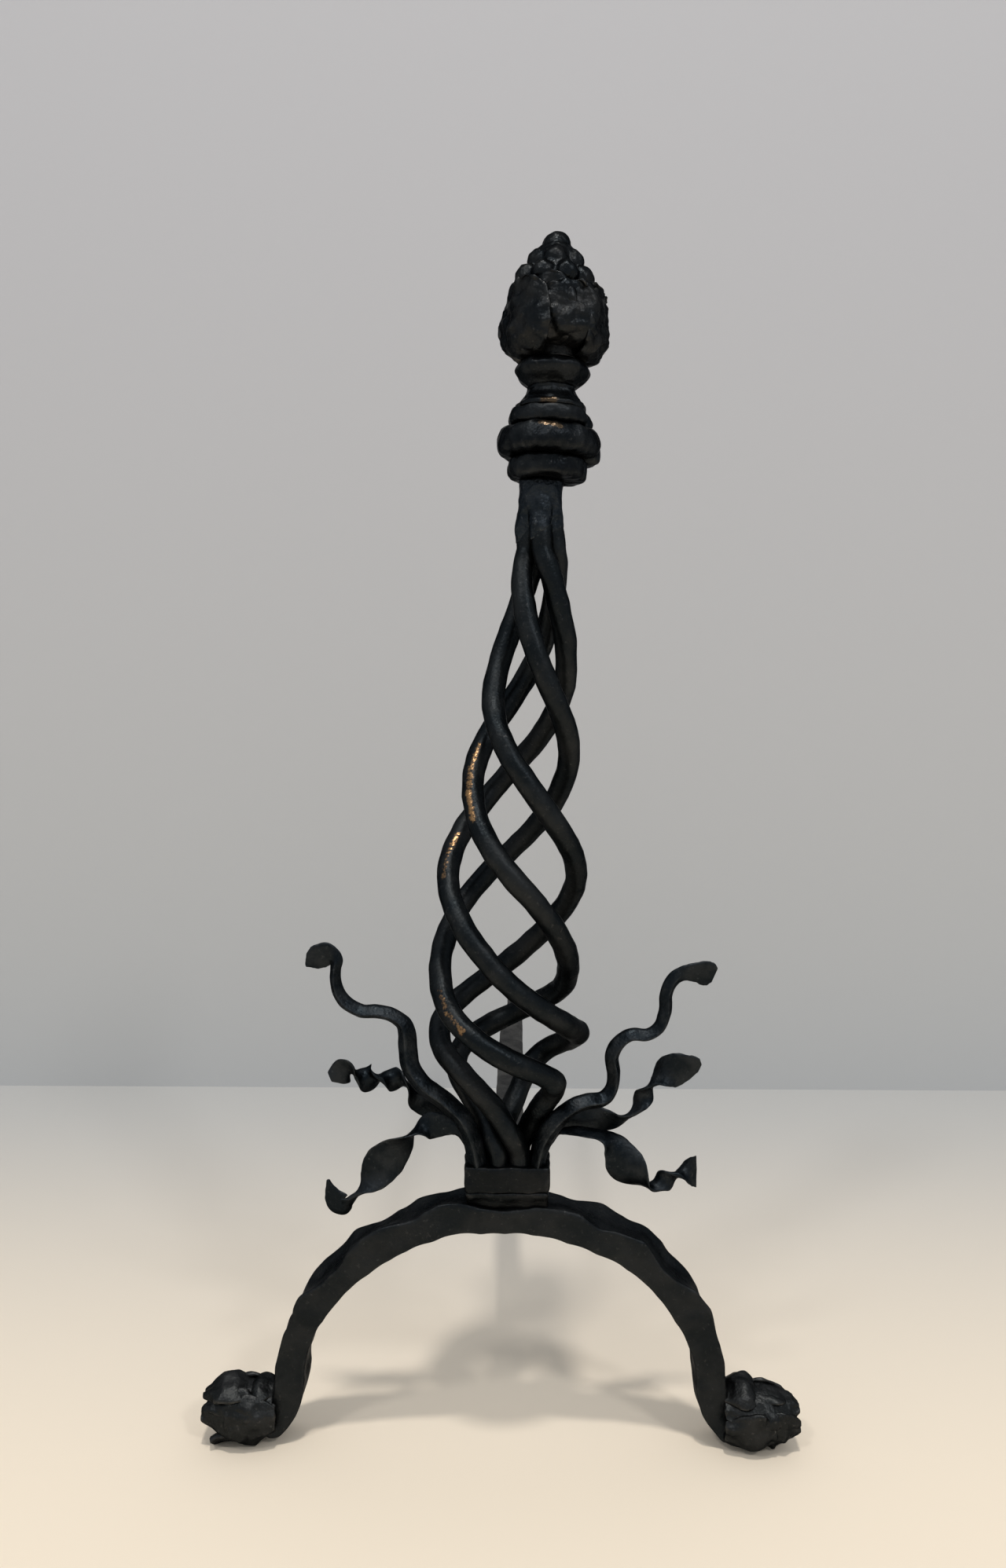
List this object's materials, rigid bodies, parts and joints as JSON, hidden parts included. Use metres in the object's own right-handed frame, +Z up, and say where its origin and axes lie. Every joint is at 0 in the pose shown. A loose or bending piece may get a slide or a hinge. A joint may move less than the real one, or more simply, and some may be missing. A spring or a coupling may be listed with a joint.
{
  "type": "andiron",
  "caption": "Forged andiron: arched foot bar with rosette feet, basket-twist post with a bud finial, curling leaf sprigs, and a square log bar behind.",
  "frame": {"origin": "on the floor, under the middle of the whole andiron's width and of its depth, from the front of the basket twist to the back of the rear leg", "axes": "+X is to the right as the andiron is seen from the front, +Y runs back along the log bar, +Z is up"},
  "size_m": [0.301, 0.4706, 0.5999],
  "materials": {
    "arch_iron": "hammered, blackened wrought iron",
    "rod_iron": "hammered, blackened wrought iron",
    "stem_iron": "hammered, blackened wrought iron",
    "bud_iron": "hammered, blackened wrought iron",
    "leaf_iron": "hammered, blackened wrought iron",
    "bar_iron": "scaled grey iron, worn by logs"
  },
  "bodies": {
    "root": {"arch_bar": "arch_iron", "left_foot_core": "arch_iron", "right_foot_core": "arch_iron", "left_foot_petal_1": "arch_iron", "left_foot_petal_2": "arch_iron", "left_foot_petal_3": "arch_iron", "left_foot_petal_4": "arch_iron", "left_foot_petal_5": "arch_iron", "right_foot_petal_1": "arch_iron", "right_foot_petal_2": "arch_iron", "right_foot_petal_3": "arch_iron", "right_foot_petal_4": "arch_iron", "right_foot_petal_5": "arch_iron", "seat_block": "arch_iron", "collar": "arch_iron", "log_bar": "bar_iron", "cage_rod_1": "rod_iron", "cage_rod_2": "rod_iron", "cage_rod_3": "rod_iron", "cage_rod_4": "rod_iron", "left_tendril": "leaf_iron", "left_upper_leaf": "leaf_iron", "left_lower_leaf": "leaf_iron", "right_tendril": "leaf_iron", "right_upper_leaf": "leaf_iron", "right_lower_leaf": "leaf_iron", "stem": "stem_iron", "finial_pin": "stem_iron", "lower_ring": "stem_iron", "big_ring": "stem_iron", "shoulder_ring": "stem_iron", "neck": "stem_iron", "upper_ring": "stem_iron", "bud_core": "bud_iron", "berry_cluster": "bud_iron", "outer_petal_1": "bud_iron", "outer_petal_2": "bud_iron", "outer_petal_3": "bud_iron", "outer_petal_4": "bud_iron", "outer_petal_5": "bud_iron", "inner_petal_1": "bud_iron", "inner_petal_2": "bud_iron", "inner_petal_3": "bud_iron", "inner_petal_4": "bud_iron", "inner_petal_5": "bud_iron"}
  },
  "joints": []
}
